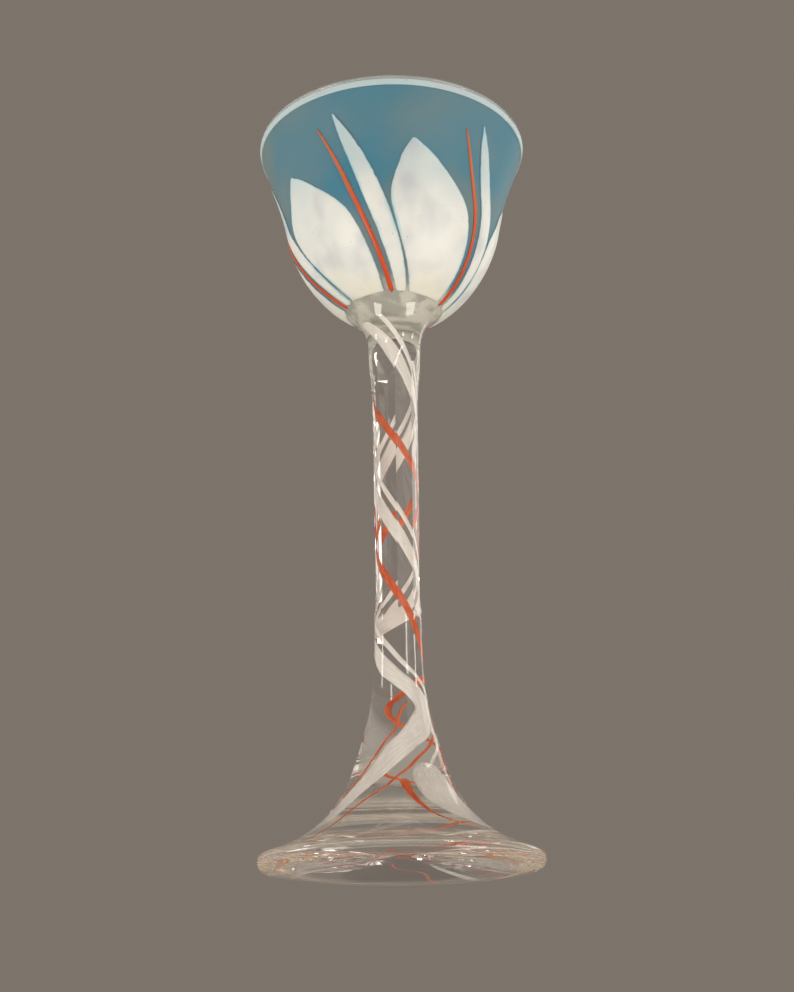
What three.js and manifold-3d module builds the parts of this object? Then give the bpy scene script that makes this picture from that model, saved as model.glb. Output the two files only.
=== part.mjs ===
// A tall goblet of hot-worked glass, in millimetres, standing on z = 0 with its front towards -Y.
// The bowl is clear glass inside a translucent blue layer, with a cut white overlay of petals and leaves
// and thin orange trails. The stem is a clear rod wound with white and orange canes under a clear
// casing, which is cut with eight flat facets. The solid foot carries the same canes out to its rim.
import * as THREE from 'three';
import { mergeVertices } from 'three/addons/utils/BufferGeometryUtils.js';
import Module from 'manifold-3d';

const wasm = await Module();
wasm.setup();

const clearance = 0.3; // between pieces that touch in the real glass

// Bowl
const height = 220;
const lipRadius = 40.7;
const lipEdgeHeight = 1.6;
const lipBandHeight = 1.8;
const lipFlare = 0.8; // how far inside the lip its outward turn starts
const lipTurn = 0.17; // and how far below it, as a share of the wall above the belly
const bellyRadius = 32.3;
const bellyDrop = 30; // from the lip down to the belly
const bellyLean = 0.18; // how far the wall leans out there for each millimetre up
const bellyEase = [0.45, 0.49]; // shares of the wall below and above it that its lean is felt over
const bowlDepth = 61.2;
const bowlBaseWidth = 16.4; // how far the bottom runs out flat before it turns up
const overlayThickness = 0.6;
const blueThickness = 0.7;
const linerThickness = 0.9;

// Overlay pattern, the same for each of its turns round the bowl
const petalCount = 5;
const petalWidth = 0.66; // widths here are shares of a turn of the pattern
const petalRootWidth = 0.64;
const petalTaper = 0.42; // share of the width that is left shortly below the tip
const petalReaches = [0.76, 0.66, 0.79, 0.69, 0.72]; // share of the side that each petal runs up
const leafWidth = 0.16;
const leafRootWidth = 0.18;
const leafTaper = 0.6;
const leafReach = 0.91;
const leafLane = 0.564; // share of a turn of the pattern from the petal's middle to the leaf's
const trailWidth = 0.035;
const trailRootWidth = 0.07;
const trailReach = 0.86;
const trailLane = 0.413;
const tipWidth = 0.011; // of all these pieces
const overlaySwirl = 50; // degrees that the pattern turns on its way down

// Joint bit
const bitHeight = 6.8; // from its base to the middle of the bowl's bottom
const bitRadius = 13.4;
const bitNeckRadius = 7.75;
const bitFlareSpread = 0.6; // how far the neck widens before it flares out
const bitFlareStart = 0.62; // share of the bit's height where the flare is tightest

// Stem
const coreRadius = 4.35;
const caneThickness = 0.4;
const jointHeight = 45.4; // where the stem stands on the foot
const jointRadius = 7.5;
const stemWaistRadius = 6.65;
const stemWaistRise = 18.6; // above the joint
const stemShoulderRadius = 7.1;
const stemShoulderDrop = 24; // below the bit
const facetCount = 8;
const facetLowDistance = 5.75; // from the axis to the flat, low on the stem
const facetHighDistance = 6.05;
const facetLowRise = 27.6; // above the joint
const facetHighDrop = 24; // below the bit
const facetRunOut = 6; // height over which a cut leaves the glass at its lower end
const facetStep = 0.4; // how far clear of the glass the wheel is at the cut's ends
const facetStop = 1; // how far below the top of the casing the cuts stop

// Foot
const footRadius = 38;
const footBaseRadius = 34.6;
const footWidestHeight = 2.4;
const footEdgeHeight = 4.2;
const footEdgeRounding = 0.8; // how far in the rim turns from its widest to its upper edge
const footFlareReach = 22.3; // how far the top of the foot runs in before it turns up
const footFlareRise = 7.2;
const footNeckSpread = 5.4; // how far the neck is drawn out below the joint
const footNeckDrop = 20.4;
const caneRimDepth = 2.8; // from the widest part of the rim to the surface that the canes lie on
const caneRimHeight = 3.9;
const caneFlareRadius = 11;
const caneFlareHeight = 9.5;
const caneNeckSpread = 0.85;
const caneNeckDrop = 15.4;

// Fineness of the turned and wound shapes
const bowlSegments = 36;
const footSegments = 36;
const stemSegments = 32;
const coreSegments = 24;
const bowlRows = 12;
const petalRows = 12;
const leafRows = 14;
const footRows = 10;
const stemRows = 48;
const casingRows = 14;
const facetRows = 16;
const roundingRows = 6;

const degree = Math.PI / 180;
const at = (radius, z) => new THREE.Vector2(radius, z);

const materials = {
  clear: { color: 0xdfe5e2, roughness: 0.05, metalness: 0 },
  satin: { color: 0xd3dbda, roughness: 0.4, metalness: 0 },
  blue: { color: 0x3f8aa6, roughness: 0.45, metalness: 0 },
  white: { color: 0xe9e6dd, roughness: 0.5, metalness: 0 },
  orange: { color: 0xd8562a, roughness: 0.4, metalness: 0 },
};

const goblet = new THREE.Group();

function add(name, geometry, material) {
  const mesh = new THREE.Mesh(geometry, new THREE.MeshStandardMaterial(materials[material]));
  mesh.name = name;
  goblet.add(mesh);
}

// A smooth run through pairs of a place and a value, held at the first and last value beyond them.
function smooth(pairs) {
  const slopes = pairs.map((pair, i) => {
    const before = pairs[Math.max(i - 1, 0)];
    const after = pairs[Math.min(i + 1, pairs.length - 1)];
    return (after[1] - before[1]) / (after[0] - before[0]);
  });
  return (place) => {
    let i = 0;
    while (i < pairs.length - 2 && place > pairs[i + 1][0]) i += 1;
    const span = pairs[i + 1][0] - pairs[i][0];
    const s = THREE.MathUtils.clamp((place - pairs[i][0]) / span, 0, 1);
    const late = s * s * (3 - 2 * s);
    return pairs[i][1] * (1 - late) + pairs[i + 1][1] * late
      + span * s * (1 - s) * (slopes[i] * (1 - s) - slopes[i + 1] * s);
  };
}

// A point of an outline, moved outward by lift. Outlines run upward, with the glass on their left.
function lifted(outline, place, lift) {
  const point = outline.getPoint(place);
  const along = outline.getTangent(place);
  return at(Math.max(point.x + along.y * lift, 0), point.y - along.x * lift);
}

// The place on an outline where it first reaches a radius, found by halving.
function placeAtRadius(outline, radius) {
  let low = 0;
  let high = 1;
  while (high - low > 1e-5) {
    const middle = (low + high) / 2;
    if (outline.getPoint(middle).x < radius) low = middle;
    else high = middle;
  }
  return low;
}

// Evenly spaced points of an outline between two places, moved outward by lift.
function run(outline, from, to, rows, lift) {
  return Array.from({ length: rows + 1 }, (_, i) => lifted(outline, from + ((to - from) * i) / rows, lift));
}

function turned(points, segments) {
  const geometry = new THREE.LatheGeometry(points, segments);
  geometry.rotateX(Math.PI / 2);
  return geometry;
}

// A strip of glass laid on a turned outline. At each place of the outline, middle gives its angle in
// degrees and halfWidth half its width in millimetres.
function wrapped(outline, { from, to, rows, columns, middle, halfWidth, lift, thickness }) {
  const positions = [];
  for (const side of [lift, lift - thickness]) {
    for (let i = 0; i <= rows; i += 1) {
      const place = from + ((to - from) * i) / rows;
      const point = lifted(outline, place, side);
      const spread = halfWidth(place) / outline.getPoint(place).x;
      for (let j = 0; j <= columns; j += 1) {
        const angle = middle(place) * degree + spread * ((2 * j) / columns - 1);
        positions.push(point.x * Math.sin(angle), -point.x * Math.cos(angle), point.y);
      }
    }
  }
  const wide = columns + 1;
  const inside = (rows + 1) * wide;
  const faces = [];
  const quad = (a, b, c, d) => faces.push(a, b, c, a, c, d);
  for (let i = 0; i < rows; i += 1) {
    for (let j = 0; j < columns; j += 1) {
      const a = i * wide + j;
      quad(a, a + 1, a + 1 + wide, a + wide);
      quad(inside + a, inside + a + wide, inside + a + 1 + wide, inside + a + 1);
    }
    const left = i * wide;
    const right = left + columns;
    quad(left, left + wide, inside + left + wide, inside + left);
    quad(right + wide, right, inside + right, inside + right + wide);
  }
  for (let j = 0; j < columns; j += 1) {
    const top = rows * wide + j;
    quad(j + 1, j, inside + j, inside + j + 1);
    quad(top, top + 1, inside + top + 1, inside + top);
  }
  const geometry = new THREE.BufferGeometry();
  geometry.setAttribute('position', new THREE.Float32BufferAttribute(positions, 3));
  geometry.setIndex(faces);
  return geometry;
}

function solid(geometry) {
  const bare = geometry.clone();
  bare.deleteAttribute('normal');
  bare.deleteAttribute('uv');
  const merged = mergeVertices(bare);
  const vertProperties = new Float32Array(merged.attributes.position.array);
  const triVerts = new Uint32Array(merged.index.array);
  return new wasm.Manifold(new wasm.Mesh({ numProp: 3, vertProperties, triVerts }));
}

function fromSolid(body) {
  const mesh = body.getMesh();
  const geometry = new THREE.BufferGeometry();
  geometry.setAttribute('position', new THREE.Float32BufferAttribute(mesh.vertProperties, 3));
  geometry.setIndex(Array.from(mesh.triVerts));
  return geometry;
}

// The bowl's outer outline, from the middle of its bottom to the seat of the lip edge.
const bowlBase = height - bowlDepth;
const bellyHeight = height - bellyDrop;
const lipSeat = height - lipEdgeHeight - clearance;
const belly = at(bellyRadius, bellyHeight);
const below = (bellyHeight - bowlBase) * bellyEase[0];
const above = (lipSeat - bellyHeight) * bellyEase[1];
const bowlOutline = new THREE.CurvePath();
bowlOutline.add(new THREE.CubicBezierCurve(
  at(0, bowlBase), at(bowlBaseWidth, bowlBase),
  at(bellyRadius - bellyLean * below, bellyHeight - below), belly,
));
bowlOutline.add(new THREE.CubicBezierCurve(
  belly, at(bellyRadius + bellyLean * above, bellyHeight + above),
  at(lipRadius - lipFlare, lipSeat - (lipSeat - bellyHeight) * lipTurn), at(lipRadius, lipSeat),
));
const bandStart = 1 - lipBandHeight / bowlOutline.getLength();

const blueDepth = overlayThickness + clearance;
const linerDepth = blueDepth + blueThickness + clearance;
const wallThickness = linerDepth + linerThickness;

// One layer of the bowl from a place up to the lip, ground level under the lip edge.
function bowlLayer(from, rows, depth, thickness) {
  const outside = run(bowlOutline, from, 1, rows, -depth);
  const inside = run(bowlOutline, from, 1, rows, -depth - thickness).reverse();
  outside[rows].y = lipSeat;
  inside[0].y = lipSeat;
  return [...outside, ...inside];
}

add('bowl_liner', turned(bowlLayer(0, bowlRows, linerDepth, linerThickness), bowlSegments), 'satin');
add('bowl_blue_layer', turned(bowlLayer(0, bowlRows, blueDepth, blueThickness), bowlSegments), 'blue');

const lipBand = bowlLayer(bandStart, 3, 0, overlayThickness);
add('lip_band', turned([...lipBand, lipBand[0]], bowlSegments), 'white');

function lipEdge() {
  const middle = lipRadius - wallThickness / 2;
  const points = Array.from({ length: roundingRows + 1 }, (_, i) => {
    const turn = (Math.PI * i) / roundingRows;
    const radius = middle + (wallThickness / 2) * Math.cos(turn);
    return at(radius, lipSeat + clearance + lipEdgeHeight * Math.sin(turn));
  });
  return turned([...points, points[0]], bowlSegments);
}

add('lip_edge', lipEdge(), 'satin');

// The overlay starts beside the joint bit, and all of it turns together, so that nothing crosses.
const overlayRoot = placeAtRadius(bowlOutline, bitRadius + 2 * clearance);
const patternTurn = 360 / petalCount;

function overlayPiece(lane, reach, widths, rows, columns) {
  const from = overlayRoot;
  const to = THREE.MathUtils.lerp(from, bandStart, reach);
  const width = smooth(widths);
  return wrapped(bowlOutline, {
    from,
    to,
    rows,
    columns,
    middle: (place) => lane * patternTurn + overlaySwirl * (1 - place),
    halfWidth: (place) => {
      const turn = patternTurn * degree * bowlOutline.getPoint(place).x;
      return (width((place - from) / (to - from)) * turn) / 2;
    },
    lift: 0,
    thickness: overlayThickness,
  });
}

const petal = [[0, petalRootWidth], [0.58, petalWidth], [0.87, petalWidth * petalTaper], [1, tipWidth]];
const leaf = [[0, leafRootWidth], [0.55, leafWidth], [0.85, leafWidth * leafTaper], [1, tipWidth]];
const trail = [[0, trailRootWidth], [0.3, trailWidth * 1.2], [0.7, trailWidth], [1, tipWidth]];

for (let i = 0; i < petalCount; i += 1) {
  const petalReach = petalReaches[i % petalReaches.length];
  add(`petal_${i + 1}`, overlayPiece(i, petalReach, petal, petalRows, 6), 'white');
  add(`leaf_${i + 1}`, overlayPiece(i + leafLane, leafReach, leaf, leafRows, 2), 'white');
  add(`bowl_trail_${i + 1}`, overlayPiece(i + trailLane, trailReach, trail, leafRows, 1), 'orange');
}

// The canes lie on one turned surface between the core and the casing, all the way down.
const bitBase = bowlBase - bitHeight;
const caneRadius = coreRadius + clearance + caneThickness / 2;
const boreRadius = coreRadius + 2 * clearance + caneThickness;
const coreTop = bowlBase + blueDepth - clearance;
const stemBase = jointHeight + clearance;
const stemTop = bitBase - clearance;
const stemCanes = new THREE.LineCurve(at(caneRadius, stemBase), at(caneRadius, coreTop));

// The bit is a collar round the top of the canes, spread out under the bowl.
function jointBit() {
  const rim = placeAtRadius(bowlOutline, bitRadius);
  const boreEnd = placeAtRadius(bowlOutline, boreRadius);
  const under = run(bowlOutline, rim, boreEnd, 4, -blueDepth + clearance);
  under[under.length - 1].x = boreRadius;
  const start = at(boreRadius, bitBase);
  const tightest = THREE.MathUtils.lerp(bitBase, under[0].y, bitFlareStart);
  const flare = new THREE.QuadraticBezierCurve(
    at(bitNeckRadius, bitBase), at(bitNeckRadius + bitFlareSpread, tightest), under[0],
  );
  return turned([start, ...flare.getPoints(roundingRows), ...under.slice(1), start], stemSegments);
}

add('joint_bit', jointBit(), 'clear');

const core = [at(0, stemBase), at(coreRadius, stemBase), at(coreRadius, coreTop), at(0, coreTop)];
add('stem_core', turned(core, coreSegments), 'clear');

// The casing is turned first and then cut with flats that follow it out at both ends.
function stemCasing() {
  const outside = new THREE.SplineCurve([
    at(jointRadius, stemBase), at(stemWaistRadius, jointHeight + stemWaistRise),
    at(stemShoulderRadius, bitBase - stemShoulderDrop), at(bitNeckRadius, stemTop),
  ]);
  const start = at(boreRadius, stemBase);
  const blank = [start, ...outside.getPoints(casingRows), at(boreRadius, stemTop), start];
  let body = solid(turned(blank, stemSegments));
  const facetLowHeight = jointHeight + facetLowRise;
  const facetHighHeight = bitBase - facetHighDrop;
  const cutBase = facetLowHeight - facetRunOut;
  const cutTop = stemTop - facetStop;
  const track = new THREE.SplineCurve([
    at(stemWaistRadius + facetStep, cutBase), at(facetLowDistance, facetLowHeight),
    at(facetHighDistance, facetHighHeight),
    at(facetHighDistance + facetStep, (facetHighHeight + stemTop) / 2),
    at(bitNeckRadius + facetStep / 4, cutTop),
  ]);
  const clearOfGlass = 2 * bitNeckRadius;
  const behind = [at(clearOfGlass, cutTop), at(clearOfGlass, cutBase)];
  const outline = new THREE.Shape([...track.getPoints(facetRows), ...behind]);
  for (let i = 0; i < facetCount; i += 1) {
    const cutter = new THREE.ExtrudeGeometry(outline, { depth: 2 * bitNeckRadius, bevelEnabled: false });
    cutter.translate(0, 0, -bitNeckRadius);
    cutter.rotateX(Math.PI / 2);
    cutter.rotateZ(((i + 0.5) * 2 * Math.PI) / facetCount);
    body = body.subtract(solid(cutter));
  }
  return fromSolid(body);
}

add('stem_casing', stemCasing(), 'clear');

// Each cane of the stem, with its colour: the angles that it passes and its half widths, at shares of
// the way up. Angles are from the front and grow to the right, so a cane turns right on its way down.
const stemPasses = {
  broad_white: {
    colour: 'white',
    angles: [[0, 784], [0.0185, 758], [0.067, 686], [0.415, 360], [0.894, 0], [1, -75]],
    halves: [[0, 3.7], [0.067, 2.9], [0.126, 2.2], [1, 2.1]],
  },
  narrow_white: {
    colour: 'white',
    angles: [[0, 844], [0.093, 720], [0.48, 360], [0.957, 0], [1, -29]],
    halves: [[0, 0.85], [1, 0.85]],
  },
  orange: {
    colour: 'orange',
    angles: [[0, 543], [0.126, 450], [0.257, 360], [0.662, 0], [0.812, -132]],
    halves: [[0, 0.6], [0.055, 1.1], [0.745, 1.15], [0.812, 0.5]],
  },
};

// The foot's top outline and the surface that its canes lie on, both from the rim up to the stem.
const footTopRadius = footRadius - footEdgeRounding;
const footTop = new THREE.CubicBezierCurve(
  at(footTopRadius, footEdgeHeight), at(footTopRadius - footFlareReach, footEdgeHeight + footFlareRise),
  at(jointRadius + footNeckSpread, jointHeight - footNeckDrop), at(jointRadius, jointHeight),
);
const footCanes = new THREE.CubicBezierCurve(
  at(footRadius - caneRimDepth, caneRimHeight), at(caneFlareRadius, caneFlareHeight),
  at(caneRadius + caneNeckSpread, jointHeight - caneNeckDrop), at(caneRadius, jointHeight),
);
const seatLift = caneThickness / 2 + clearance;

// The core has the flat base and the rounded rim, which runs from the base out to its widest and in.
function footCore() {
  const rimTop = footEdgeHeight - clearance;
  const under = new THREE.QuadraticBezierCurve(
    at(footBaseRadius, 0), at(footRadius, footWidestHeight / 6), at(footRadius, footWidestHeight),
  );
  const over = new THREE.QuadraticBezierCurve(
    at(footRadius, footWidestHeight), at(footRadius, rimTop - clearance), at(footTopRadius, rimTop),
  );
  const rim = [...under.getPoints(roundingRows), ...over.getPoints(roundingRows / 2).slice(1)];
  const inner = run(footCanes, 0, 1, footRows, -seatLift);
  return turned([at(0, 0), ...rim, ...inner, at(0, inner[footRows].y)], footSegments);
}

function footCasing() {
  const inner = run(footCanes, 0, 1, footRows, seatLift).reverse();
  return turned([...inner, ...footTop.getPoints(footRows), inner[0]], footSegments);
}

add('foot_core', footCore(), 'clear');
add('foot_casing', footCasing(), 'clear');

// Each cane of the foot in the same way, at places from 0 at the rim to 1 at the stem. The stem's canes
// turn back just under the joint, and then fan out over the flare.
const footPasses = {
  cane_broad_white: {
    colour: 'white',
    angles: [
      [0.03, -72], [0.28, -68], [0.41, -63], [0.5, -55], [0.59, -38], [0.67, -20], [0.75, 5],
      [0.81, 37], [0.88, 65], [0.95, 86], [1, 67],
    ],
    halves: [
      [0.03, 4.2], [0.28, 3.7], [0.41, 3.3], [0.5, 3.1], [0.67, 3.4], [0.75, 4], [0.81, 4.4],
      [0.95, 3.9], [1, 3.7],
    ],
  },
  cane_narrow_white: {
    colour: 'white',
    angles: [[0.62, 44], [0.69, 65], [0.755, 98], [0.85, 132], [0.93, 146], [1, 128]],
    halves: [[0.62, 0.5], [0.7, 0.8], [1, 0.85]],
  },
  cane_orange: {
    colour: 'orange',
    angles: [[0.53, 74], [0.59, 86], [0.67, 108], [0.75, 134], [0.82, 162], [0.92, 195], [1, 185]],
    halves: [[0.53, 0.4], [0.8, 0.45], [0.95, 0.5], [1, 0.6]],
  },
  trail_back: {
    colour: 'orange',
    angles: [
      [0.03, -48], [0.2, -47], [0.35, -44], [0.44, -34], [0.51, -18], [0.57, -5], [0.63, 14],
      [0.69, 34], [0.755, 67], [0.82, 100],
    ],
    halves: [[0.03, 0.5], [0.3, 0.4], [0.5, 0.4], [0.75, 0.55], [0.82, 0.6]],
  },
  trail_front: {
    colour: 'orange',
    angles: [
      [0.06, 66], [0.163, 55], [0.188, 46], [0.246, 35], [0.312, 25], [0.396, 17], [0.496, 8],
      [0.562, 4],
    ],
    halves: [[0.06, 0.3], [0.25, 0.4], [0.4, 0.8], [0.56, 1.3]],
  },
  patch_white: {
    colour: 'white',
    angles: [[0.1, 88], [0.2, 78], [0.34, 60], [0.46, 46], [0.58, 32]],
    halves: [[0.1, 5], [0.2, 6.5], [0.34, 7], [0.46, 5.6], [0.58, 3.4]],
  },
  streak_1: {
    colour: 'white',
    angles: [[0.03, 141], [0.29, 136], [0.62, 128]],
    halves: [[0.03, 1.9], [0.3, 1.4], [0.62, 0.7]],
  },
  streak_2: {
    colour: 'orange',
    angles: [[0.03, 122], [0.2, 114], [0.36, 100]],
    halves: [[0.03, 0.6], [0.36, 0.4]],
  },
  streak_3: {
    colour: 'white',
    angles: [[0.03, 112], [0.2, 104], [0.33, 92]],
    halves: [[0.03, 1.3], [0.33, 0.8]],
  },
  streak_4: {
    colour: 'orange',
    angles: [[0.04, 163], [0.18, 163], [0.43, 161], [0.57, 190], [0.69, 199]],
    halves: [[0.04, 0.5], [0.69, 0.4]],
  },
  streak_5: {
    colour: 'white',
    angles: [[0.03, 244], [0.26, 267], [0.4, 262]],
    halves: [[0.03, 2.2], [0.26, 1.8], [0.4, 0.8]],
  },
  streak_6: {
    colour: 'orange',
    angles: [
      [0.2, -84], [0.33, -82], [0.44, -79], [0.5, -75], [0.56, -66], [0.67, -51], [0.77, -31],
      [0.83, -10], [0.88, -4], [0.93, 4], [0.96, 16], [0.975, 24],
    ],
    halves: [[0.2, 0.3], [0.8, 0.35], [0.975, 0.4]],
  },
};

// One cane laid on an outline, as long and as wide as its stations say.
function cane(name, outline, rowsPerLength, { colour, angles, halves }) {
  const from = angles[0][0];
  const to = angles[angles.length - 1][0];
  const widest = Math.max(...halves.map((pair) => pair[1]));
  add(name, wrapped(outline, {
    from,
    to,
    rows: Math.ceil((to - from) * rowsPerLength),
    columns: Math.ceil(1.4 * widest),
    middle: smooth(angles),
    halfWidth: smooth(halves),
    lift: caneThickness / 2,
    thickness: caneThickness,
  }), colour);
}

for (const [name, look] of Object.entries(stemPasses)) {
  cane(`stem_cane_${name}`, stemCanes, stemRows, look);
}
for (const [name, look] of Object.entries(footPasses)) {
  cane(`foot_${name}`, footCanes, 3 * footRows, look);
}

export default goblet;
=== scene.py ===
# Tall twist stem goblet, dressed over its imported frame. Blender 4.5, front towards -Y. Lengths on the
# goblet are in millimetres until around() makes them metres. Those of the stage are in metres.
import math

import bmesh
import bpy
from mathutils import Matrix, Vector


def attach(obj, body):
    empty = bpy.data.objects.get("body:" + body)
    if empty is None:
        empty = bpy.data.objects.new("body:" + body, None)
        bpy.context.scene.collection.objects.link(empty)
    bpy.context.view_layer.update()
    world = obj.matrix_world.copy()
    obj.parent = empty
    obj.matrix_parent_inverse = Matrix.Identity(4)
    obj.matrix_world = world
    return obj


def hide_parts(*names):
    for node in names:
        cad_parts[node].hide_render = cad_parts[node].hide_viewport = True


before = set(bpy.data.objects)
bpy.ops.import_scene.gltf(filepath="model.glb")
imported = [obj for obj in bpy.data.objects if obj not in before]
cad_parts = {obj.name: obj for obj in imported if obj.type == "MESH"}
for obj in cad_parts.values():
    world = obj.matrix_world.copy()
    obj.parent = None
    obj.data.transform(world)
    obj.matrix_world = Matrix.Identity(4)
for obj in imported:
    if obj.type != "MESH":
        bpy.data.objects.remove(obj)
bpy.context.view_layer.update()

mm = 0.001
degree = math.tau / 360
scene = bpy.context.scene
print("frame loaded:", len(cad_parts), "nodes")


# A socket of one finish. Sums written on it become Math nodes.
class Wire:
    def __init__(self, finish, socket):
        self.finish, self.socket = finish, socket

    def sum(self, operation, first, second):
        return self.finish.node("ShaderNodeMath", {"operation": operation}, {0: first, 1: second})

    def __add__(self, other):
        return self.sum("ADD", self, other)

    __radd__ = __add__

    def __mul__(self, other):
        return self.sum("MULTIPLY", self, other)

    __rmul__ = __mul__

    def __sub__(self, other):
        return self.sum("SUBTRACT", self, other)

    def __rsub__(self, other):
        return self.sum("SUBTRACT", other, self)

    def larger(self, other):
        return self.sum("MAXIMUM", self, other)


class Finish:
    def __init__(self, name, holder=None):
        self.holder = holder or bpy.data.materials.new(name)
        self.holder.use_nodes = True
        self.tree = self.holder.node_tree
        self.tree.nodes.clear()

    def node(self, kind, settings=None, sockets=None, output=0):
        made = self.tree.nodes.new(kind)
        for key, value in (settings or {}).items():
            setattr(made, key, value)
        for key, value in (sockets or {}).items():
            if isinstance(value, Wire):
                self.tree.links.new(value.socket, made.inputs[key])
            else:
                made.inputs[key].default_value = value
        return Wire(self, made.outputs[output]) if made.outputs else None

    def place(self):
        return self.node("ShaderNodeTexCoord", output="Object")

    def height(self):
        return self.node("ShaderNodeSeparateXYZ", {}, {0: self.place()}, output="Z")

    def attribute(self, name):
        return self.node("ShaderNodeAttribute", {"attribute_name": name}, output="Fac")

    def noise(self, scale, detail=3.0, stretch=(1, 1, 1), **more):
        stretched = self.node("ShaderNodeMapping", {}, {"Vector": self.place(), "Scale": stretch})
        sockets = {"Vector": stretched, "Scale": scale, "Detail": detail, **more}
        return self.node("ShaderNodeTexNoise", {}, sockets, output="Fac")

    # Noise drawn out along marks that the mesh carries
    def drawn(self, first, second, third, scale, detail):
        place = self.node("ShaderNodeCombineXYZ", {}, {0: first, 1: second, 2: third})
        sockets = {"Vector": place, "Scale": scale, "Detail": detail}
        return self.node("ShaderNodeTexNoise", {}, sockets, output="Fac")

    def span(self, value, low, high, start=0.0, end=1.0):
        sockets = {"Value": value, "From Min": low, "From Max": high, "To Min": start, "To Max": end}
        return self.node("ShaderNodeMapRange", {"interpolation_type": "SMOOTHSTEP"}, sockets)

    # 0, 6, 7 and output 2 are the Mix node's factor, two colours and result
    def blend(self, share, first, second):
        first, second = (c if isinstance(c, Wire) else (*c, 1) for c in (first, second))
        return self.node("ShaderNodeMix", {"data_type": "RGBA"}, {0: share, 6: first, 7: second}, output=2)

    def bump(self, height, strength, distance):
        sockets = {"Height": height, "Strength": strength, "Distance": distance}
        return self.node("ShaderNodeBump", {}, sockets)

    def fineGrain(self):
        return self.bump(self.noise(2500, 2), 0.1, 0.0001)

    def shader(self, colour, **sockets):
        named = {key.replace("_", " "): value for key, value in sockets.items()}
        named["Base Color"] = colour if isinstance(colour, Wire) else (*colour, 1)
        return self.node("ShaderNodeBsdfPrincipled", {}, named)

    # Lets a share of the lamps' light through to what lies behind, and tints it
    def lampsPass(self, shader, share, tint):
        clear = self.node("ShaderNodeBsdfTransparent", {}, {"Color": (*tint, 1)})
        shadow = self.node("ShaderNodeLightPath", output="Is Shadow Ray")
        return self.node("ShaderNodeMixShader", {}, {0: shadow * share, 1: shader, 2: clear})

    def done(self, shader, kind="ShaderNodeOutputMaterial"):
        self.node(kind, {}, {"Surface": shader})
        return self.holder


# A smooth run through pairs of a place and a value, held at its first and last value
def smooth(pairs):
    last = len(pairs) - 1
    slopes = []
    for i in range(last + 1):
        before, after = pairs[max(i - 1, 0)], pairs[min(i + 1, last)]
        slopes.append((after[1] - before[1]) / (after[0] - before[0]))

    def value(place):
        i = 0
        while i < last - 1 and place > pairs[i + 1][0]:
            i += 1
        span = pairs[i + 1][0] - pairs[i][0]
        s = min(max((place - pairs[i][0]) / span, 0), 1)
        late = s * s * (3 - 2 * s)
        bend = span * s * (1 - s) * (slopes[i] * (1 - s) - slopes[i + 1] * s)
        return pairs[i][1] * (1 - late) + pairs[i + 1][1] * late + bend

    return value


def bezier(points, place):
    points = [Vector(p) for p in points]
    while len(points) > 1:
        points = [a.lerp(b, place) for a, b in zip(points, points[1:])]
    return points[0]


# The points of a bezier curve after its first one
def bent(points, steps):
    return [bezier(points, i / steps) for i in range(1, steps + 1)]


# Bezier curves end to end, as (radius, height), with places from 0 to 1 shared out by length
class Outline:
    def __init__(self, *curves, steps=200):
        points = [Vector(curves[0][0])]
        for curve in curves:
            points += bent(curve, steps)
        travel = [0.0]
        for a, b in zip(points, points[1:]):
            travel.append(travel[-1] + (b - a).length)
        self.points, self.travel, self.length = points, travel, travel[-1]

    def at(self, place, lift=0.0):
        goal = min(max(place, 0), 1) * self.length
        low, high = 0, len(self.travel) - 1
        while high - low > 1:
            middle = (low + high) // 2
            if self.travel[middle] <= goal:
                low = middle
            else:
                high = middle
        a, b = self.points[low], self.points[high]
        point = a.lerp(b, (goal - self.travel[low]) / (self.travel[high] - self.travel[low]))
        after, before = self.points[min(high + 1, len(self.points) - 1)], self.points[max(low - 1, 0)]
        along = (after - before).normalized()
        return Vector((max(point.x + along.y * lift, 0), point.y - along.x * lift))

    def placeAt(self, radius):
        for point, travel in zip(self.points, self.travel):
            if point.x >= radius:
                return travel / self.length
        return 1.0


def around(radius, height, angle):
    return Vector((radius * math.sin(angle), -radius * math.cos(angle), height)) * mm


def turnedRow(radius, height, across):
    if radius < 1e-6:
        return [around(0, height, 0)]
    return [around(radius, height, math.tau * j / across) for j in range(across)]


# Rows of points become one skin. A row of one point closes an end, and the rows of a ring go all round.
def skin(name, rows, finish, slot, replaced=(), ring=False, sharp=None, marks=None):
    points, starts = [], []
    for row in rows:
        starts.append(len(points))
        points += row
    last = len(rows) - 1
    pairs = [(i, i + 1) for i in range(last)] + ([(last, 0)] if ring else [])
    faces = []
    for i, k in pairs:
        a, b, na, nb = starts[i], starts[k], len(rows[i]), len(rows[k])
        for j in range(max(na, nb)):
            n = (j + 1) % max(na, nb)
            if na == 1:
                faces.append((a, b + n, b + j))
            elif nb == 1:
                faces.append((a + j, a + n, b))
            else:
                faces.append((a + j, a + n, b + n, b + j))
    mesh = bpy.data.meshes.new(name)
    mesh.from_pydata(points, [], faces)
    for key, values in (marks or {}).items():
        layer = mesh.attributes.new(key, "FLOAT", "POINT")
        layer.data.foreach_set("value", values)
    work = bmesh.new()
    work.from_mesh(mesh)
    bmesh.ops.recalc_face_normals(work, faces=work.faces)
    work.to_mesh(mesh)
    work.free()
    mesh.shade_smooth()
    if sharp:
        mesh.set_sharp_from_angle(angle=sharp * degree)
    mesh.materials.append(finish)
    piece = bpy.data.objects.new(name, mesh)
    scene.collection.objects.link(piece)
    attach(piece, "root")
    if replaced:
        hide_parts(*replaced)


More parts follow.
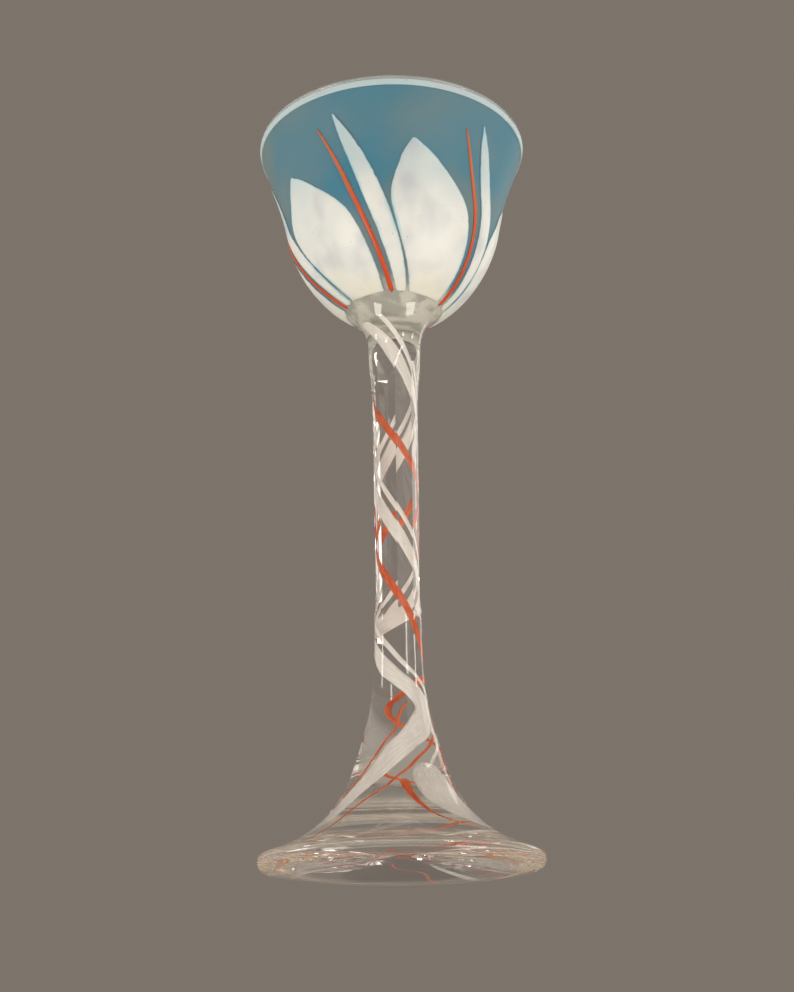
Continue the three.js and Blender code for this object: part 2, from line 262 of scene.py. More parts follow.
# A strip laid along a turned surface. Angles are in degrees from the front, and half is its half width.
# A full under 1 gives its section a flatter face and steeper sides, and a roundEnd under 1 gives it
# blunter ends. Where openTop is set, the top end keeps its width and stays open.
def strip(name, spot, places, angle, half, thickness, finish, slot, replaced, lift=0.0, across=14, full=1.0,
          roundEnd=1.0, openTop=False):
    rows, path, marks = [], [], {"along": [], "across": [], "inset": [], "toEnd": []}

    def mark(*values):
        for key, value in zip(marks, values):
            marks[key].append(value)

    for place in places:
        middle = spot(place, lift)
        path.append(around(middle.x, middle.y, angle(place) * degree))
    travels = [0.0]
    for a, b in zip(path, path[1:]):
        travels.append(travels[-1] + (b - a).length / mm)
    for place, here, travel in zip(places, path, travels):
        toEnd = min(travel, travels[-1] - travel)
        if openTop and toEnd > 0:
            toEnd = travel
        if toEnd <= 0:
            rows.append([here])
            mark(travel, 0.0, 0.0, 0.0)
            continue
        middle, width = spot(place, 0), half(place)
        near = min(toEnd / max(width * roundEnd, 0.05), 1)  # rounded over at least 0.05 mm
        width *= math.sqrt(near * (2 - near))
        row = []
        for k in range(across):
            turn = math.tau * k / across
            up, out = (math.copysign(abs(s) ** full, s) for s in (math.sin(turn), math.cos(turn)))
            point = spot(place, lift + up * thickness / 2)
            row.append(around(point.x, point.y, angle(place) * degree + out * width / max(middle.x, 0.1)))
            mark(travel, out, (1 - abs(out)) * width, toEnd)
        rows.append(row)
    skin(name, rows, finish, slot, replaced, marks=marks)


clearLook = {"ior": 1.5, "ripple": 0.02, "rippleDepth": 0.0004, "wiped": 0.02, "passing": (0.97, 0.98, 0.97)}


def clearGlass():
    f = Finish("clear_glass")
    ripple = f.noise(60, 2, (1, 1, 0.25))
    wiped = f.span(f.noise(900, 2), 0.45, 0.8, 0.0, clearLook["wiped"])
    glass = f.shader(
        (1, 1, 1), Roughness=wiped, IOR=clearLook["ior"], Transmission_Weight=1.0,
        Normal=f.bump(ripple, clearLook["ripple"], clearLook["rippleDepth"]),
    )
    return f.done(f.lampsPass(glass, 1.0, clearLook["passing"]))


# Softness is how clear the sides of a cane turn, and fading how many millimetres its ends fade out over.
caneLook = {
    "white": {
        "pale": (0.84, 0.80, 0.76), "deep": (0.73, 0.68, 0.64), "worn": (0.64, 0.59, 0.55),
        "softness": 0.55, "fading": 9.0,
    },
    "orange": {
        "pale": (0.72, 0.19, 0.08), "deep": (0.55, 0.06, 0.014), "worn": (0.62, 0.17, 0.07),
        "softness": 0.4, "fading": 1.2,
    },
}


def caneGlass(kind):
    f, look = Finish(f"cane_{kind}"), caneLook[kind]
    along, across, toEnd = f.attribute("along"), f.attribute("across"), f.attribute("toEnd")
    streak = f.drawn(along * 0.09, across * 1.8, 0.0, 3.0, 4.0)
    side = across * across
    colour = f.blend(f.span(streak, 0.3, 0.7), look["pale"], look["deep"])
    colour = f.blend(f.span(side, 0.55, 1.0) * 0.5, colour, look["worn"])
    thinning = f.span(side + (streak - 0.5) * 0.9, 0.75, 1.15) * look["softness"]
    solid = f.span(toEnd + (streak - 0.5) * look["fading"], 0.0, look["fading"], 0.12, 0.95)
    return f.done(f.shader(colour, Roughness=0.45, Specular_IOR_Level=0.2, Alpha=solid * (1 - thinning)))


# Fine threads near the rim of the foot, drawn out round it. Between them the layer is clear. The last
# lengths are millimetres up the foot: to solidTo they are whole, and then they thin out until they are gone.
threads = {
    "from": 0.02, "to": 0.32, "rows": 30, "columns": 144, "lift": -0.5, "slant": 0.34,
    "solidTo": 3.0, "orangeGone": 8.0, "whiteGone": 11.0,
    "white": (0.92, 0.77, 0.58), "orange": (0.72, 0.25, 0.08),
}


def threadGlass():
    f = Finish("cane_threads")
    along, east, north = f.attribute("along"), f.attribute("east"), f.attribute("north")

    def thread(turns, inward, detail):
        return f.drawn(east * turns, north * turns, inward, 1.0, detail)

    sway = thread(1.5, along * 0.03, 1.0)
    isWhite = f.span(thread(3.0, along * 0.7 + sway * 9, 3.0), 0.43, 0.6) * 0.82
    isOrange = f.span(thread(2.6, along * 1.0 - sway * 10, 2.0), 0.57, 0.62) * 0.85
    patchy = f.span(thread(1.5, 0.4, 1.0), 0.4, 0.6, 0.25, 1.0)
    isWhite = isWhite * patchy * f.span(along, threads["solidTo"], threads["whiteGone"], 1.0, 0.0)
    isOrange = isOrange * patchy * f.span(along, threads["solidTo"], threads["orangeGone"], 1.0, 0.0)
    colour = f.blend(isOrange, threads["white"], threads["orange"])
    return f.done(f.shader(colour, Roughness=0.4, Specular_IOR_Level=0.2, Alpha=isWhite.larger(isOrange)))


# Heights here and in the looks of the overlay and trails are in metres, as the finishes see them.
bowlLook = {
    "grey": (0.225, 0.315, 0.325), "deep": (0.075, 0.30, 0.44), "veil": (0.33, 0.35, 0.33),
    "milky": (0.80, 0.77, 0.69), "greyMilk": (0.50, 0.49, 0.44), "milkyTop": 0.1655, "blueStart": 0.1705,
    "seeThrough": 0.3, "passing": (0.7, 0.85, 0.9),
}


def bowlGlass():
    f = Finish("bowl_blue")
    cloud = f.noise(17, 2, Distortion=0.6)
    colour = f.blend(f.span(cloud, 0.38, 0.66), bowlLook["grey"], bowlLook["deep"])
    colour = f.blend(f.span(f.noise(38, 3), 0.45, 0.75) * 0.3, colour, bowlLook["veil"])
    upward = f.span(f.height() + f.noise(90, 2) * 0.004, bowlLook["milkyTop"], bowlLook["blueStart"])
    milky = f.blend(f.span(f.noise(170, 2), 0.42, 0.62), bowlLook["milky"], bowlLook["greyMilk"])
    colour = f.blend(upward, milky, colour)
    glass = f.shader(
        colour, Roughness=0.5, IOR=1.3, Transmission_Weight=bowlLook["seeThrough"], Normal=f.fineGrain(),
    )
    return f.done(f.lampsPass(glass, 0.35, bowlLook["passing"]))


# The soft edge, the halo of blue and the dark line of painted shadow lie so many millimetres in from a
# piece's sides.
overlayLook = {
    "dense": (0.83, 0.855, 0.83), "cream": (0.84, 0.83, 0.72), "thin": (0.43, 0.59, 0.65),
    "paintedShade": (0.50, 0.53, 0.60), "milk": (0.66, 0.72, 0.74), "halo": (0.34, 0.64, 0.76),
    "paintedShadow": (0.12, 0.14, 0.14), "speck": (0.32, 0.31, 0.29), "passing": (0.8, 0.88, 0.92),
    "creamTop": (0.160, 0.172), "thinning": (0.174, 0.21),
    "softEdge": 0.5, "haloWidth": (1.5, 0.2), "paintedShadowWidth": (0.6, 0.35),
}


def overlayGlass():
    f, look = Finish("white_overlay"), overlayLook
    across, inset, height = f.attribute("across"), f.attribute("inset"), f.height()
    ragged = inset + (f.noise(420, 3) - 0.5) * 0.5
    cream = f.span(height + (f.noise(60, 2) - 0.5) * 0.02, *look["creamTop"])
    colour = f.blend(cream, look["cream"], look["dense"])
    thin = f.span(height + (f.noise(45, 3) - 0.5) * 0.04, *look["thinning"])
    colour = f.blend(thin * 0.85, colour, look["thin"])
    # Grey-blue patches at random places: painted soft shade on the petals.
    paintedShade = f.span(f.noise(85, 2, (1, 1, 0.6)), 0.45, 0.74)
    colour = f.blend(paintedShade * 0.65, colour, look["paintedShade"])
    milk = f.span(f.noise(260, 4), 0.35, 0.8)
    colour = f.blend(milk * 0.14, colour, look["milk"])
    patchy = f.span(f.noise(70, 2), 0.35, 0.6)
    halo = f.span(ragged, *look["haloWidth"]) * (0.15 + 0.7 * patchy)
    colour = f.blend(halo, colour, look["halo"])
    # A thin dark line along one side of each piece, just in from its edge: painted shadow of the piece's
    # step on the wall.
    cut = f.span(ragged, *look["paintedShadowWidth"]) * f.span(across, 0.4, 0.6)
    cut = cut * f.span(f.noise(110, 2), 0.52, 0.6)
    colour = f.blend(cut * 0.7, colour, look["paintedShadow"])
    speck = f.span(f.noise(1500, 0), 0.83, 0.86)
    colour = f.blend(speck * 0.5, colour, look["speck"])
    glass = f.shader(
        colour, Roughness=0.42, Specular_IOR_Level=0.4, Normal=f.fineGrain(),
        Alpha=f.span(ragged, 0.0, look["softEdge"], 0.1, 1.0),
    )
    return f.done(f.lampsPass(glass, 0.45, look["passing"]))


trailLook = {
    "low": (0.68, 0.075, 0.015), "high": (0.58, 0.16, 0.065), "streak": (0.50, 0.09, 0.03),
    "paling": (0.172, 0.2),
}


def trailGlass():
    f = Finish("bowl_orange")
    along, across = f.attribute("along"), f.attribute("across")
    streak = f.drawn(along * 0.08, across * 1.6, 0.0, 3.0, 3.0)
    pale = f.span(f.height() + (streak - 0.5) * 0.02, *trailLook["paling"])
    colour = f.blend(pale, trailLook["low"], trailLook["high"])
    colour = f.blend(f.span(streak, 0.45, 0.7) * 0.5, colour, trailLook["streak"])
    return f.done(f.shader(colour, Roughness=0.35, Specular_IOR_Level=0.4))


lipLook = {"clear": (0.93, 0.95, 0.93), "hazy": (0.80, 0.84, 0.83), "passing": (0.93, 0.95, 0.94)}


def lipGlass():
    f = Finish("lip_glass")
    colour = f.blend(f.span(f.noise(120, 3), 0.35, 0.7), lipLook["clear"], lipLook["hazy"])
    wiped = f.span(f.noise(900, 2), 0.3, 0.8, 0.12, 0.22)
    glass = f.shader(colour, Roughness=wiped, IOR=1.45, Transmission_Weight=0.72)
    return f.done(f.lampsPass(glass, 0.8, lipLook["passing"]))


finishes = {
    "lip": lipGlass(),
    "clear": clearGlass(),
    "white": caneGlass("white"),
    "orange": caneGlass("orange"),
    "threads": threadGlass(),
    "blue": bowlGlass(),
    "overlay": overlayGlass(),
    "trail": trailGlass(),
}
print("finishes made:", len(finishes))

# The bowl's outer outline, from the middle of its base up to the top of the lip band. Lean is its slope
# at the belly, and lipHandle tells how far inward and down the curve's last corner lies.
bowl = {
    "lipHeight": 220, "depth": 61.2, "lip": 40.7, "seat": 218.1, "belly": 32.3, "bellyHeight": 190,
    "lean": 0.18, "roundBelow": 0.45, "roundAbove": 0.49, "baseWidth": 16.4, "lipHandle": (0.8, 4.78),
}
bowlBase = bowl["lipHeight"] - bowl["depth"]


def makeBowlOutline():
    below = (bowl["bellyHeight"] - bowlBase) * bowl["roundBelow"]
    above = (bowl["seat"] - bowl["bellyHeight"]) * bowl["roundAbove"]
    radius, height = bowl["belly"], bowl["bellyHeight"]
    underBelly = (radius - bowl["lean"] * below, height - below)
    overBelly = (radius + bowl["lean"] * above, height + above)
    underLip = (bowl["lip"] - bowl["lipHandle"][0], bowl["seat"] - bowl["lipHandle"][1])
    return Outline(
        [(0, bowlBase), (bowl["baseWidth"], bowlBase), underBelly, (radius, height)],
        [(radius, height), overBelly, underLip, (bowl["lip"], bowl["seat"])],
    )


bowlOutline = makeBowlOutline()

# Foot, stem and joint bit: one clear mass. The joint is where the foot ends and the stem starts, and
# underRim and overRim are the heights of the corners that the rim's two curves turn round.
joint = {"height": 45.4, "radius": 7.5, "caneRadius": 4.85}
bit = {
    "height": 6.8, "radius": 13.4, "neck": 7.75, "flare": (8.35, 159), "sunk": 1.0,
    "flareSteps": 18, "topSteps": 8,
}
stemTop = bowlBase - bit["height"]
foot = {
    "rings": (0, 8, 16, 24, 30), "flat": 34.6, "rim": 38, "rimHeight": 2.4, "underRim": 0.4, "overRim": 3.9,
    "top": [(37.2, 4.2), (14.9, 11.4), (12.9, 25), (joint["radius"], joint["height"])],
    "canes": [(35.2, 3.9), (11, 9.5), (5.7, 30), (joint["caneRadius"], joint["height"])],
    "blendStart": 36.5, "blendEnd": 54, "blendReach": 0.38,
    "underSteps": 22, "overSteps": 14, "slopeSteps": 120, "blendSteps": 24,
}
stem = {
    "round": [(joint["height"], joint["radius"]), (54, 6.95), (64, 6.65), (96, 6.78), (128, 7.1),
              (142, 7.35), (stemTop, bit["neck"])],
    "flats": [(67, 7.05), (73, 5.75), (100, 5.88), (128, 6.05), (140, 6.4), (150.7, 7.85), (stemTop, 8.4)],
    "flatsFrom": 66.5, "flatsTo": 151.9, "flatCount": 8, "cutEdge": 0.05, "rows": 220, "columns": 192,
}
roundStem, flatStem = smooth(stem["round"]), smooth(stem["flats"])
footTop, footCane = Outline(foot["top"]), Outline(foot["canes"])


# The round stem and its flats meet in slightly softened edges.
def stemRadius(height, angle):
    whole = roundStem(height)
    if height < stem["flatsFrom"] or height > stem["flatsTo"]:
        return whole
    each, soft = 360 / stem["flatCount"], stem["cutEdge"]
    off = (angle / degree) % each - each / 2
    cut = flatStem(height) / math.cos(off * degree)
    return -soft * math.log(math.exp(-whole / soft) + math.exp(-cut / soft))


def footRim():
    flat, side, top = (foot["flat"], 0), (foot["rim"], foot["rimHeight"]), foot["top"][0]
    rim = [Vector(flat)]
    rim += bent([flat, (foot["rim"], foot["underRim"]), side], foot["underSteps"])
    rim += bent([side, (foot["rim"], foot["overRim"]), top], foot["overSteps"])
    slope = [footTop.at(i / foot["slopeSteps"]) for i in range(1, foot["slopeSteps"])]
    return rim + [p for p in slope if p.y < foot["blendStart"]]


# From the end of the foot's slope to the stem, without a step
def footBlend(low, before):
    end = foot["blendEnd"]
    high = Vector((roundStem(end), end))
    rise = Vector((roundStem(end + 0.5) - roundStem(end), 0.5)).normalized()
    reach = (end - low.y) * foot["blendReach"]
    under = low + (low - before).normalized() * reach
    return bent([low, under, high - rise * reach, high], foot["blendSteps"])[:-1]


# The bit flares out from the stem's top and ends inside the bowl's base.
def bitFlare():
    rim = bowlOutline.placeAt(bit["radius"])
    seat = bowlOutline.at(rim, -bit["sunk"])
    start = Vector((bit["neck"], stemTop))
    flare = [start] + bent([start, bit["flare"], seat], bit["flareSteps"])
    count = bit["topSteps"]
    return flare + [bowlOutline.at(rim * (1 - i / count), -bit["sunk"]) for i in range(1, count + 1)]


def clearBody():
    columns = stem["columns"]
    rows = [turnedRow(radius, 0, columns) for radius in foot["rings"]]
    rim = footRim()
    rows += [turnedRow(p.x, p.y, columns) for p in rim + footBlend(rim[-1], rim[-2])]
    angles = [math.tau * j / columns for j in range(columns)]
    for i in range(stem["rows"]):
        height = foot["blendEnd"] + (stemTop - foot["blendEnd"]) * i / stem["rows"]
        rows.append([around(stemRadius(height, a), height, a) for a in angles])
    rows += [turnedRow(p.x, p.y, columns) for p in bitFlare()]
    nodes = ("foot_core", "foot_casing", "stem_core", "stem_casing", "joint_bit")
    skin("clear_body", rows, finishes["clear"], "clear_glass", nodes, sharp=30)


clearBody()
print("clear mass made")

# Canes: place 0 to 1 runs up the foot and 1 to 2 up the stem, where they open out into the joint bit
caneWay = {
    "top": bowlBase + 0.6, "openFrom": 150.5, "openBy": 4.6, "openCurve": 1.6, "thickness": 0.4,
    "footStep": 0.006, "stemStep": 0.004,
}


def caneSpot(place, lift):
    if place <= 1:
        return footCane.at(place, lift)
    height = joint["height"] + (caneWay["top"] - joint["height"]) * (place - 1)
    opened = max(height - caneWay["openFrom"], 0) / (caneWay["top"] - caneWay["openFrom"])
    out = caneWay["openBy"] * opened ** caneWay["openCurve"]
    return Vector((joint["caneRadius"] + out + lift, height))


def stemPlace(height):
    return 1 + (height - joint["height"]) / (caneWay["top"] - joint["height"])


# Angles and half widths at places. Canes named foot_ have one node, and the others one each in the
# stem and the foot.
canes = {
    "cane_broad_white": {
        "colour": "white",
        "angles": [(0.03, -72), (0.28, -68), (0.41, -63), (0.5, -55), (0.59, -38), (0.67, -20), (0.75, 5),
                   (0.81, 37), (0.88, 65), (0.95, 86), (1, 67), (stemPlace(47.8), 38),
                   (stemPlace(53.3), -34), (stemPlace(92.9), -360), (stemPlace(147.4), -720), (2, -795)],
        "halves": [(0.03, 4.2), (0.28, 3.7), (0.41, 3.3), (0.5, 3.1), (0.67, 3.4), (0.75, 4), (0.81, 4.4),
                   (0.95, 3.9), (1, 3.7), (stemPlace(53.3), 2.9), (stemPlace(60), 2.2), (2, 2.1)],
    },
    "cane_narrow_white": {
        "colour": "white",
        "angles": [(0.62, 44), (0.69, 65), (0.755, 98), (0.85, 132), (0.93, 146), (1, 128),
                   (stemPlace(56.3), 0), (stemPlace(100.3), -360), (stemPlace(154.5), -720), (2, -749)],
        "halves": [(0.62, 0.5), (0.7, 0.8), (2, 0.85)],
    },
    "cane_orange": {
        "colour": "orange",
        "angles": [(0.53, 74), (0.59, 86), (0.67, 108), (0.75, 134), (0.82, 162), (0.92, 195), (1, 185),
                   (stemPlace(60), 90), (stemPlace(74.9), 0), (stemPlace(121), -360),
                   (stemPlace(138), -492)],
        "halves": [(0.53, 0.4), (0.8, 0.45), (0.95, 0.5), (stemPlace(52), 0.65), (stemPlace(62), 1.2),
                   (stemPlace(130), 1.2), (stemPlace(138), 0.5)],
    },
    "foot_trail_back": {
        "colour": "orange",
        "angles": [(0.03, -48), (0.2, -47), (0.35, -44), (0.44, -34), (0.51, -18), (0.57, -5), (0.63, 14),
                   (0.69, 34), (0.755, 67), (0.82, 100)],
        "halves": [(0.03, 0.5), (0.3, 0.4), (0.5, 0.4), (0.75, 0.55), (0.82, 0.6)],
    },
    "foot_trail_front": {
        "colour": "orange",
        "angles": [(0.06, 66), (0.163, 55), (0.188, 46), (0.246, 35), (0.312, 25), (0.396, 17), (0.496, 8),
                   (0.562, 4)],
        "halves": [(0.06, 0.3), (0.25, 0.4), (0.4, 0.8), (0.56, 1.3)],
    },
    "foot_patch_white": {
        "colour": "white",
        "angles": [(0.1, 88), (0.2, 78), (0.34, 60), (0.46, 48), (0.66, 42)],
        "halves": [(0.1, 5), (0.2, 6.5), (0.34, 7.4), (0.46, 6.4), (0.58, 5), (0.66, 3.8)],
    },
    "foot_streak_1": {
        "colour": "white",
        "angles": [(0.03, 141), (0.29, 136), (0.62, 128)],
        "halves": [(0.03, 1.9), (0.3, 1.4), (0.62, 0.7)],
    },
    "foot_streak_2": {
        "colour": "orange",
        "angles": [(0.03, 122), (0.2, 114), (0.36, 100)],
        "halves": [(0.03, 0.6), (0.36, 0.4)],
    },
    "foot_streak_3": {
        "colour": "white",
        "angles": [(0.03, 112), (0.2, 104), (0.33, 92)],
        "halves": [(0.03, 1.3), (0.33, 0.8)],
    },
    "foot_streak_4": {
        "colour": "orange",
        "angles": [(0.04, 163), (0.18, 163), (0.43, 161), (0.57, 190), (0.69, 199)],
        "halves": [(0.04, 0.5), (0.69, 0.4)],
    },
    "foot_streak_5": {
        "colour": "white",
        "angles": [(0.03, 244), (0.26, 267), (0.4, 262)],
        "halves": [(0.03, 2.2), (0.26, 1.8), (0.4, 0.8)],
    },
    "foot_streak_6": {
        "colour": "orange",
        "angles": [(0.2, -84), (0.33, -82), (0.44, -79), (0.5, -75), (0.56, -66), (0.67, -51), (0.77, -31),
                   (0.83, -10), (0.88, -4), (0.93, 4), (0.96, 16), (0.975, 24)],
        "halves": [(0.2, 0.3), (0.8, 0.35), (0.975, 0.4)],
    },
}


def cane(name, look):
    start, end = look["angles"][0][0], look["angles"][-1][0]
    places, place = [], start
    while place < end - caneWay["stemStep"] / 2:
        places.append(place)
        place += caneWay["footStep"] if place < 1 else caneWay["stemStep"]
    places.append(end)
    nodes = (name,) if name.startswith("foot_") else (f"stem_{name}", f"foot_{name}")
    strip(
        name, caneSpot, places, smooth(look["angles"]), smooth(look["halves"]), caneWay["thickness"],
        finishes[look["colour"]], f"{look['colour']}_cane", nodes, openTop=end == 2,
    )


for name, look in canes.items():
    cane(name, look)


# One thin open sheet just under the top of the foot. It stands for the many fine threads there.
def fineThreads():
    count, columns = threads["rows"], threads["columns"]
    rows, marks = [], {"along": [], "east": [], "north": []}
    for i in range(count + 1):
        place = threads["from"] + (threads["to"] - threads["from"]) * i / count
        point = caneSpot(place, threads["lift"])
        rows.append(turnedRow(point.x, point.y, columns))
        travel = place * footCane.length
        for j in range(columns):
            turned = math.tau * j / columns + threads["slant"] * travel
            for key, value in zip(marks, (travel, math.sin(turned), math.cos(turned))):
                marks[key].append(value)
    skin("foot_threads", rows, finishes["threads"], "white_cane", marks=marks)


fineThreads()
print("canes wound:", len(canes))

# The wall's outer surface lies as deep under the bowl's outline as overlay says, and its inner one at depth.
wall = {"overlay": 0.36, "depth": 2.8, "columns": 160, "rows": 60}


def bowlWall():
    outside = [bowlOutline.at(i / wall["rows"], -wall["overlay"]) for i in range(wall["rows"] + 1)]
    inside = [bowlOutline.at(i / wall["rows"], -wall["depth"]) for i in range(wall["rows"], -1, -1)]
    rows = [turnedRow(p.x, p.y, wall["columns"]) for p in outside + inside]
    skin("bowl_wall", rows, finishes["blue"], "blue_glass", ("bowl_blue_layer", "bowl_liner"))


bowlWall()

lip = {
    "bandHeight": 1.8, "bandDepth": 0.58, "bandSteps": 6,
    "edgeFrom": 218.4, "edgeHeight": 1.58, "edgeSteps": 16,
}
bandStart = 1 - lip["bandHeight"] / bowlOutline.length


# The mark keeps the overlay's soft edge and halo off the band.
def ringOf(name, points, finish, slot):
    rows = [turnedRow(p.x, p.y, wall["columns"]) for p in points]
    inset = [2.0] * len(rows) * wall["columns"]
    skin(name, rows, finish, slot, (name,), ring=True, marks={"inset": inset})


def lipRings():
    count, half = lip["bandSteps"], wall["depth"] / 2
    places = [bandStart + (1 - bandStart) * i / count for i in range(count + 1)]
    band = [bowlOutline.at(place, 0) for place in places]
    band += [bowlOutline.at(place, -lip["bandDepth"]) for place in reversed(places)]
    ringOf("lip_band", band, finishes["overlay"], "white_overlay")
    edge = []
    for i in range(lip["edgeSteps"] + 1):
        turn = math.pi * i / lip["edgeSteps"]
        out, up = half * math.cos(turn), lip["edgeHeight"] * math.sin(turn)
        edge.append(Vector((bowl["lip"] - half + out, lip["edgeFrom"] + up)))
    ringOf("lip_edge", edge, finishes["lip"], "bowl_glass")


lipRings()

# Petals, leaves and trails in lanes round the bowl, from the joint bit up. A reach of 1 is the lip band,
# and a width of 1 fills the lane.
overlay = {
    "count": 5, "swirl": 50, "gap": 0.6, "rows": 60, "thickness": 0.6, "lift": -0.28, "roundEnd": 0.12,
}
overlayPieces = {
    "petal": {
        "lane": 0, "reaches": [0.76, 0.66, 0.79, 0.69, 0.72],
        "widths": [(0, 0.64), (0.58, 0.66), (0.87, 0.277), (1, 0.011)],
        "finish": "overlay", "slot": "white_overlay", "across": 56, "full": 0.55,
    },
    "leaf": {
        "lane": 0.564, "reaches": [0.91],
        "widths": [(0, 0.18), (0.55, 0.16), (0.85, 0.096), (1, 0.011)],
        "finish": "overlay", "slot": "white_overlay", "across": 32, "full": 0.55,
    },
    "bowl_trail": {
        "lane": 0.413, "reaches": [0.86],
        "widths": [(0, 0.07), (0.3, 0.042), (0.7, 0.035), (1, 0.011)],
        "finish": "trail", "slot": "orange_trail", "across": 12, "full": 0.8,
    },
}
overlayRoot = bowlOutline.placeAt(bit["radius"] + overlay["gap"])


def overlayPiece(name, index, look):
    reach = look["reaches"][index % len(look["reaches"])]
    end = overlayRoot + (bandStart - overlayRoot) * reach
    lane = 360 / overlay["count"]
    width = smooth(look["widths"])

    def half(place):
        share = width((place - overlayRoot) / (end - overlayRoot))
        return share * lane * degree * bowlOutline.at(place).x / 2

    def angle(place):
        return (index + look["lane"]) * lane + overlay["swirl"] * (1 - place)

    count = overlay["rows"]
    places = [overlayRoot + (end - overlayRoot) * i / count for i in range(count + 1)]
    strip(
        name, bowlOutline.at, places, angle, half, overlay["thickness"], finishes[look["finish"]],
        look["slot"], (name,), lift=overlay["lift"], across=look["across"], full=look["full"],
        roundEnd=overlay["roundEnd"],
    )


for i in range(overlay["count"]):
    for kind, look in overlayPieces.items():
        overlayPiece(f"{kind}_{i + 1}", i, look)
print("bowl made")

# Stage: a pale floor that shows from above alone, and an even grey room. Its darker parts, which clear
# glass finds, are given by how far up or down a direction points, from -1 to 1.
stage = {
    "floorSize": 0.7, "floorDrop": 0.0003, "floorColour": (0.39, 0.375, 0.355),
    "roomColour": (0.203, 0.174, 0.148), "fill": 2.0, "bounces": 24, "darkShare": 0.55,
    "darkAbove": (0.625, 0.67), "darkBelow": (-0.12, -0.3),
}
# Lamps stand low at the front, at the sides and behind. The small ones make the glints in the glass.
lampLook = {"colour": (1.0, 0.95, 0.87), "aim": 0.11}
lamps = {  # size in metres, watts, degrees to the right and up, distance, and whether glass shows it
    "lamp_left": ((0.34, 0.36), 3.6, (-54, -27), 0.9, True),
    "lamp_right": ((0.4, 0.36), 3.6, (56, -27), 0.9, True),
    "side_left": ((0.9, 1.1), 3.0, (-90, 10), 0.9, False),
    "side_right": ((0.9, 1.1), 3.0, (90, 10), 0.9, False),
    "lamp_behind": ((1.0, 1.0), 6.0, (180, 35), 1.2, False),
    "glint_left": ((0.12, 0.12), 0.5, (-35, 26), 1.0, True),
    "glint_right": ((0.12, 0.12), 0.5, (38, 15), 1.0, True),
    "card_right": ((0.4, 0.5), 0.5, (44, 23), 1.0, True),
    "card_back": ((0.32, 0.25), 0.34, (137.3, 18), 1.0, True),
    "card_high": ((0.22, 0.16), 0.15, (135.3, 30.5), 1.0, True),
    "spot_left": ((0.12, 0.12), 0.45, (-82, 17), 1.0, True),
    "spot_right": ((0.12, 0.12), 0.45, (82, 17), 1.0, True),
}


# Paper that is clear from below and fades out towards its edges
def floorFinish():
    f = Finish("floor")
    darker = tuple(c * 0.97 for c in stage["floorColour"])
    colour = f.blend(f.noise(90, 2), stage["floorColour"], darker)
    paper = f.shader(colour, Roughness=0.9, Specular_IOR_Level=0.1)
    behind = f.node("ShaderNodeNewGeometry", output="Backfacing")
    away = f.node("ShaderNodeVectorMath", {"operation": "LENGTH"}, {0: f.place()}, output="Value")
    fade = f.span(away, 0.25 * stage["floorSize"], 0.95 * stage["floorSize"])
    clear = f.node("ShaderNodeBsdfTransparent")
    return f.done(f.node("ShaderNodeMixShader", {}, {0: behind.larger(fade), 1: paper, 2: clear}))


# The room looks even grey. Clear glass also finds it darker high up and low down, and what isn't
# clear gets more light from it than it shows.
def roomAir():
    f = Finish("room", bpy.data.worlds.new("room"))
    kinds = ("Camera", "Transmission", "Glossy")
    seen, through, gloss = (f.node("ShaderNodeLightPath", output=f"Is {kind} Ray") for kind in kinds)
    clearShare = through.larger(gloss)
    place = f.node("ShaderNodeTexCoord", output="Generated")
    upward = f.node("ShaderNodeSeparateXYZ", {}, {0: place}, output="Z")
    dark = f.span(upward, *stage["darkAbove"]) + f.span(upward, *stage["darkBelow"])
    shade = 1 - dark * (1 - stage["darkShare"])
    strength = seen + (1 - seen) * (clearShare * shade + (1 - clearShare) * stage["fill"])
    air = f.node("ShaderNodeBackground", {}, {"Color": (*stage["roomColour"], 1), "Strength": strength})
    return f.done(air, "ShaderNodeOutputWorld")


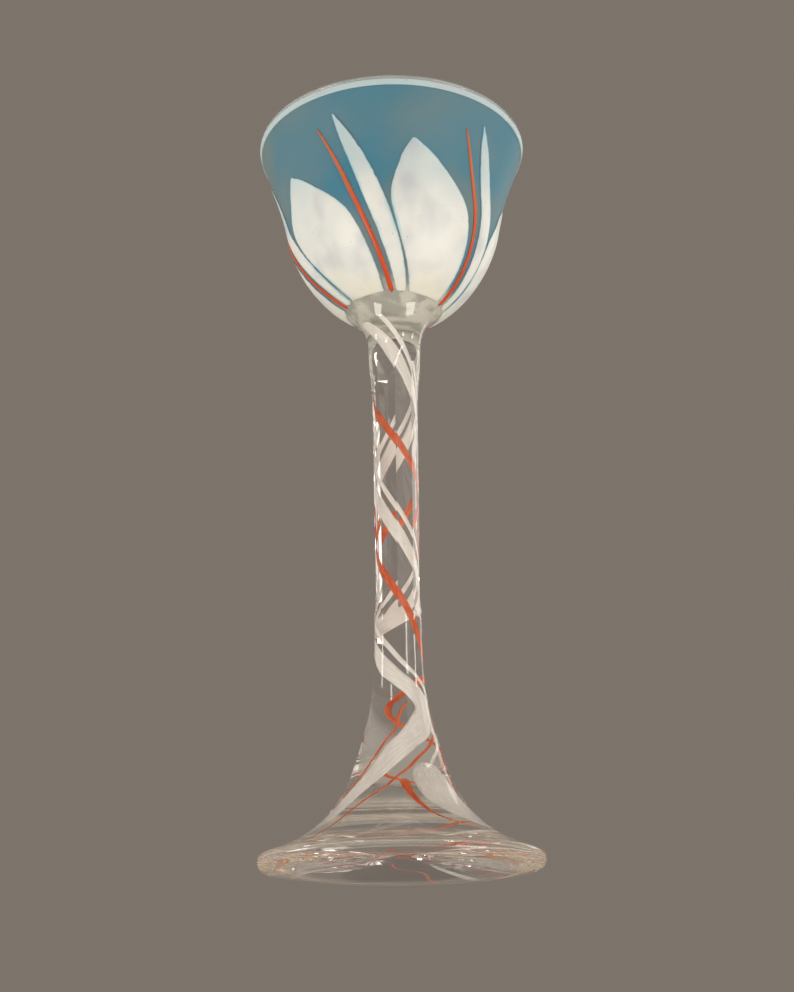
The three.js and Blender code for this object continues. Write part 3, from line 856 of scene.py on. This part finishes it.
def setFloor():
    half, low = stage["floorSize"], -stage["floorDrop"]
    corners = [(-half, -half, low), (half, -half, low), (half, half, low), (-half, half, low)]
    mesh = bpy.data.meshes.new("floor")
    mesh.from_pydata(corners, [], [(0, 1, 2, 3)])
    mesh.materials.append(floorFinish())
    floor = bpy.data.objects.new("floor", mesh)
    scene.collection.objects.link(floor)
    floor.visible_glossy = floor.visible_shadow = False


def setLamp(name, size, power, turned, away, shown):
    aside, up = (angle * degree for angle in turned)
    middle = Vector((0, 0, lampLook["aim"]))
    lamp = bpy.data.lights.new(name, "AREA")
    lamp.shape = "RECTANGLE"
    lamp.size, lamp.size_y = size
    lamp.energy = power
    lamp.color = lampLook["colour"]
    holder = bpy.data.objects.new(name, lamp)
    holder.location = middle + around(math.cos(up), math.sin(up), aside) * away / mm
    holder.rotation_euler = (middle - holder.location).to_track_quat("-Z", "Y").to_euler()
    holder.visible_camera = False
    holder.visible_glossy = holder.visible_transmission = shown
    scene.collection.objects.link(holder)


setFloor()
scene.world = roomAir()
scene.view_settings.view_transform = "Standard"
for kind in ("max_bounces", "transmission_bounces", "glossy_bounces", "transparent_max_bounces"):
    setattr(scene.cycles, kind, stage["bounces"])  # light turns many times inside the foot
for name, values in lamps.items():
    setLamp(name, *values)

# Camera, fitted to the photo
view = {
    "tilt": 20.38, "roll": 0.837, "place": (0.00015, -0.4182, -0.0500), "focal": 1560, "frame": 992,
    "sensor": 24, "nearest": 0.01,
}


def setCamera():
    tilt, roll = view["tilt"] * degree, view["roll"] * degree
    ahead = Vector((0, math.cos(tilt), math.sin(tilt)))
    up = Vector((0, -math.sin(tilt), math.cos(tilt)))
    right = Vector((1, 0, 0))
    across = right * math.cos(roll) - up * math.sin(roll)
    upward = up * math.cos(roll) + right * math.sin(roll)
    lens = bpy.data.cameras.new("camera")
    lens.sensor_fit, lens.sensor_height = "VERTICAL", view["sensor"]
    lens.lens = lens.sensor_height * view["focal"] / view["frame"]
    lens.clip_start = view["nearest"]
    camera = bpy.data.objects.new("camera", lens)
    turn = Matrix((across, upward, -ahead)).transposed()
    camera.matrix_world = Matrix.Translation(view["place"]) @ turn.to_4x4()
    scene.collection.objects.link(camera)
    scene.camera = camera


setCamera()
print("stage set")
